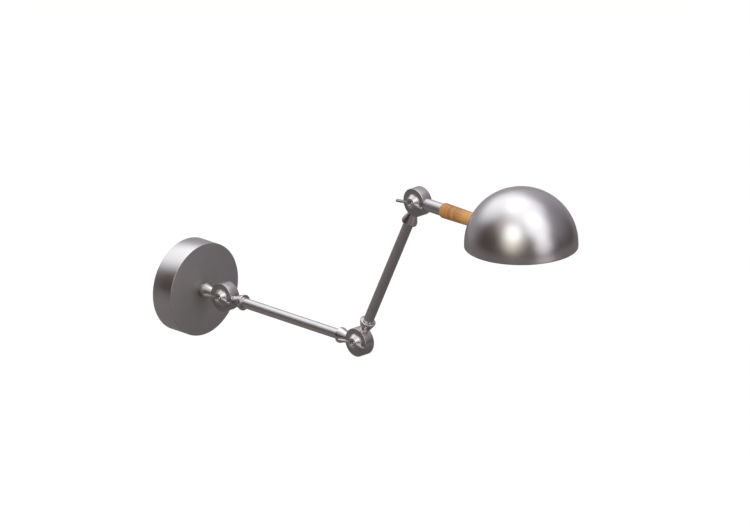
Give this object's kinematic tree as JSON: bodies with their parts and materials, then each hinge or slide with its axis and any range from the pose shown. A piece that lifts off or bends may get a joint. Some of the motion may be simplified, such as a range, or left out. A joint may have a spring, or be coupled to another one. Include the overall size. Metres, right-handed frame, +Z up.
{
  "type": "articulating wall lamp",
  "caption": "Articulating wall lamp: round wall plate, straight jointed arms with wing-nut friction knuckles, and a small domed metal shade on a turned wooden handle.",
  "frame": {"origin": "middle of the wall plate's back, on the wall plane, midway between the strap's two screw holes", "axes": "+Y into the wall (the lamp stands out along -Y), +Z up, +X along the knuckle axes; the wing nuts are on the -X side"},
  "size_m": [0.1524, 0.7085, 0.3537],
  "materials": {
    "satin_steel": "satin pewter-coloured plating",
    "zinc_steel": "zinc plated",
    "brass": "turned",
    "green_screw": "green chromate",
    "wire_insulation": "smooth insulation",
    "connector_plastic": "moulded",
    "fibre": "pressed fibre",
    "wood": "turned and oiled",
    "holder_plastic": "moulded phenolic",
    "lamp_cap_metal": "rolled",
    "opal_glass": "opal"
  },
  "bodies": {
    "wall": {"wall_plate": "satin_steel", "mounting_strap": "zinc_steel", "strap_nut": "brass", "wall_nipple": "zinc_steel", "ground_screw": "green_screw", "wall_collar": "satin_steel", "feed_wires": "wire_insulation", "wire_connectors": "connector_plastic"},
    "stub": {"stub_knuckle": "satin_steel", "stub_wires": "wire_insulation", "knuckle_1_bolt": "satin_steel", "knuckle_1_friction_washer": "fibre", "knuckle_1_wires": "wire_insulation"},
    "arm_1": {"arm_1_inner_knuckle": "satin_steel", "knuckle_1_face_washer": "satin_steel", "arm_1_inner_collar": "satin_steel", "arm_1_tube": "satin_steel", "arm_1_outer_collar": "satin_steel", "arm_1_outer_knuckle": "satin_steel", "arm_1_wires": "wire_insulation", "knuckle_2_bolt": "satin_steel", "knuckle_2_friction_washer": "fibre", "knuckle_2_wires": "wire_insulation"},
    "arm_2": {"arm_2_inner_knuckle": "satin_steel", "knuckle_2_face_washer": "satin_steel", "arm_2_inner_collar": "satin_steel", "arm_2_tube": "satin_steel", "arm_2_outer_collar": "satin_steel", "arm_2_outer_knuckle": "satin_steel", "arm_2_wires": "wire_insulation", "knuckle_3_bolt": "satin_steel", "knuckle_3_friction_washer": "fibre", "knuckle_3_wires": "wire_insulation"},
    "shade_arm": {"shade_knuckle": "satin_steel", "knuckle_3_face_washer": "satin_steel", "shade_rod": "satin_steel", "handle_nipple": "zinc_steel", "wood_handle": "wood", "shade_wires": "wire_insulation", "shade": "satin_steel", "saddle_washer": "satin_steel", "shade_nut": "brass", "holder_cap": "holder_plastic", "holder_body": "holder_plastic", "holder_screw_shell": "brass", "holder_contact": "brass", "lamp_cap": "lamp_cap_metal", "lamp_glass": "opal_glass"},
    "nut_1": {"wing_nut_1": "satin_steel"},
    "nut_2": {"wing_nut_2": "satin_steel"},
    "nut_3": {"wing_nut_3": "satin_steel"}
  },
  "joints": [
    {"name": "wall_swivel", "type": "hinge", "parent": "wall", "child": "stub", "pos_m": [0, -0.04, 0], "axis": [0, -1, 0], "range_deg": [-90, 90]},
    {"name": "knuckle_1", "type": "hinge", "parent": "stub", "child": "arm_1", "pos_m": [0, -0.073, 0], "axis": [-1, 0, 0], "range_deg": [-90, 60]},
    {"name": "knuckle_2", "type": "hinge", "parent": "arm_1", "child": "arm_2", "pos_m": [0, -0.327, 0], "axis": [-1, 0, 0], "range_deg": [-130, 70]},
    {"name": "knuckle_3", "type": "hinge", "parent": "arm_2", "child": "shade_arm", "pos_m": [0, -0.43676, 0.22406], "axis": [-1, 0, 0], "range_deg": [-70, 90]},
    {"name": "wing_nut_1_turn", "type": "hinge", "parent": "stub", "child": "nut_1", "pos_m": [-0.012, -0.073, 0], "axis": [-1, 0, 0], "range_deg": [0, 270]},
    {"name": "wing_nut_2_turn", "type": "hinge", "parent": "arm_1", "child": "nut_2", "pos_m": [-0.012, -0.327, 0], "axis": [-1, 0, 0], "range_deg": [0, 270]},
    {"name": "wing_nut_3_turn", "type": "hinge", "parent": "arm_2", "child": "nut_3", "pos_m": [-0.012, -0.43676, 0.22406], "axis": [-1, 0, 0], "range_deg": [0, 270]}
  ]
}
